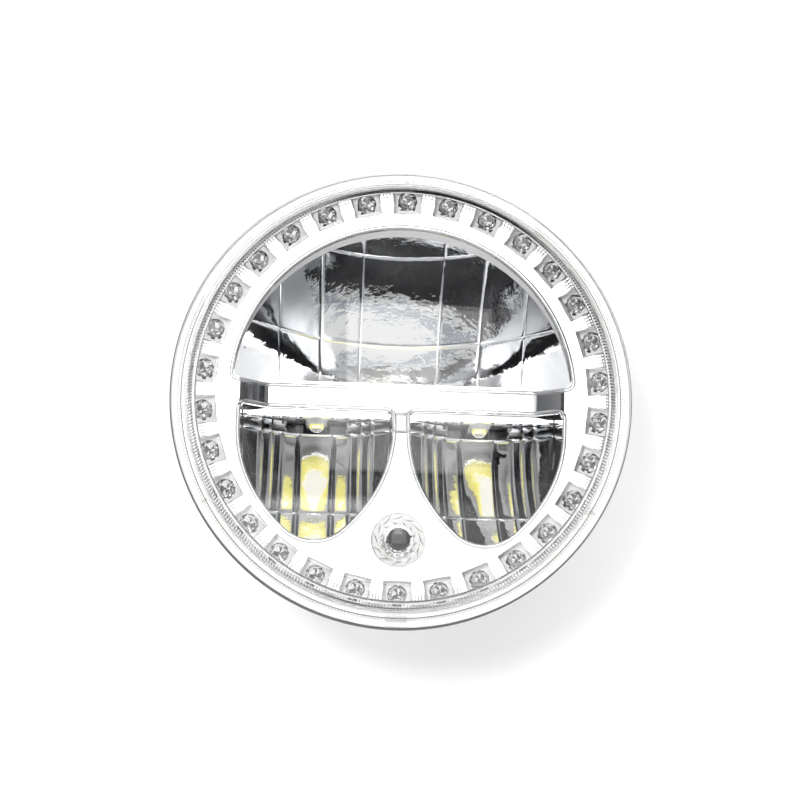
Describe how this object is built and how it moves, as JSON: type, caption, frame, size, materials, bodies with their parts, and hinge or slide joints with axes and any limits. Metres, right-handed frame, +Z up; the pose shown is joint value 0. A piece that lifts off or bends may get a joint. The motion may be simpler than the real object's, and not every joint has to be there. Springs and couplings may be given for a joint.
{
  "type": "round motorcycle headlight",
  "caption": "Round sealed LED headlight insert with a clear domed lens, a ring of small position lights, chromed reflectors and a finned housing.",
  "frame": {"origin": "on the optical axis, in the plane of the rim's back face, where the lamp seats in its bucket", "axes": "-Y is where the lens looks, +Z is up, +X is on the right of a person who faces the lens"},
  "size_m": [0.178, 0.1114, 0.178],
  "materials": {
    "clear_lens": "gloss",
    "clear_optics": "gloss",
    "chrome": "mirror",
    "silver_casting": "satin",
    "bare_aluminium": "satin",
    "white_board": "satin",
    "green_board": "satin",
    "led_body": "gloss",
    "white_plastic": "matte",
    "black_plastic": "matte",
    "ribbon_plastic": "matte",
    "black_rubber": "matte",
    "pad_rubber": "matte",
    "sealant": "satin",
    "screw_steel": "satin"
  },
  "bodies": {
    "root": {"lens": "clear_lens", "lens_seal": "sealant", "housing": "silver_casting", "ring_board": "white_board", "ring_leds": "white_plastic", "ring_optics": "clear_optics", "bezel": "chrome", "upper_reflector": "chrome", "lower_left_reflector": "chrome", "lower_right_reflector": "chrome", "led_plate": "bare_aluminium", "upper_led_board": "white_board", "lower_left_led_board": "white_board", "lower_right_led_board": "white_board", "thermal_pads": "pad_rubber", "upper_led": "led_body", "lower_left_led": "led_body", "lower_right_led": "led_body", "upper_ribbon": "ribbon_plastic", "lower_left_ribbon": "ribbon_plastic", "lower_right_ribbon": "ribbon_plastic", "ring_ribbon": "ribbon_plastic", "position_ribbon": "ribbon_plastic", "position_optic": "clear_optics", "position_can": "white_plastic", "position_board": "white_board", "position_led": "white_plastic", "driver_board": "green_board", "ribbon_sockets": "white_plastic", "driver_choke": "black_plastic", "driver_capacitors": "bare_aluminium", "driver_chips": "black_plastic", "supply_terminal": "white_plastic", "back_cover": "silver_casting", "cover_gasket": "black_rubber", "gland_body": "black_plastic", "gland_locknut": "black_plastic", "gland_cap": "black_plastic", "gland_seal": "black_rubber", "vent_plug": "black_plastic", "cover_screws": "screw_steel", "plate_screws": "screw_steel", "driver_screws": "screw_steel", "bezel_screws": "screw_steel", "reflector_screws": "screw_steel", "board_screws": "screw_steel"}
  },
  "joints": []
}
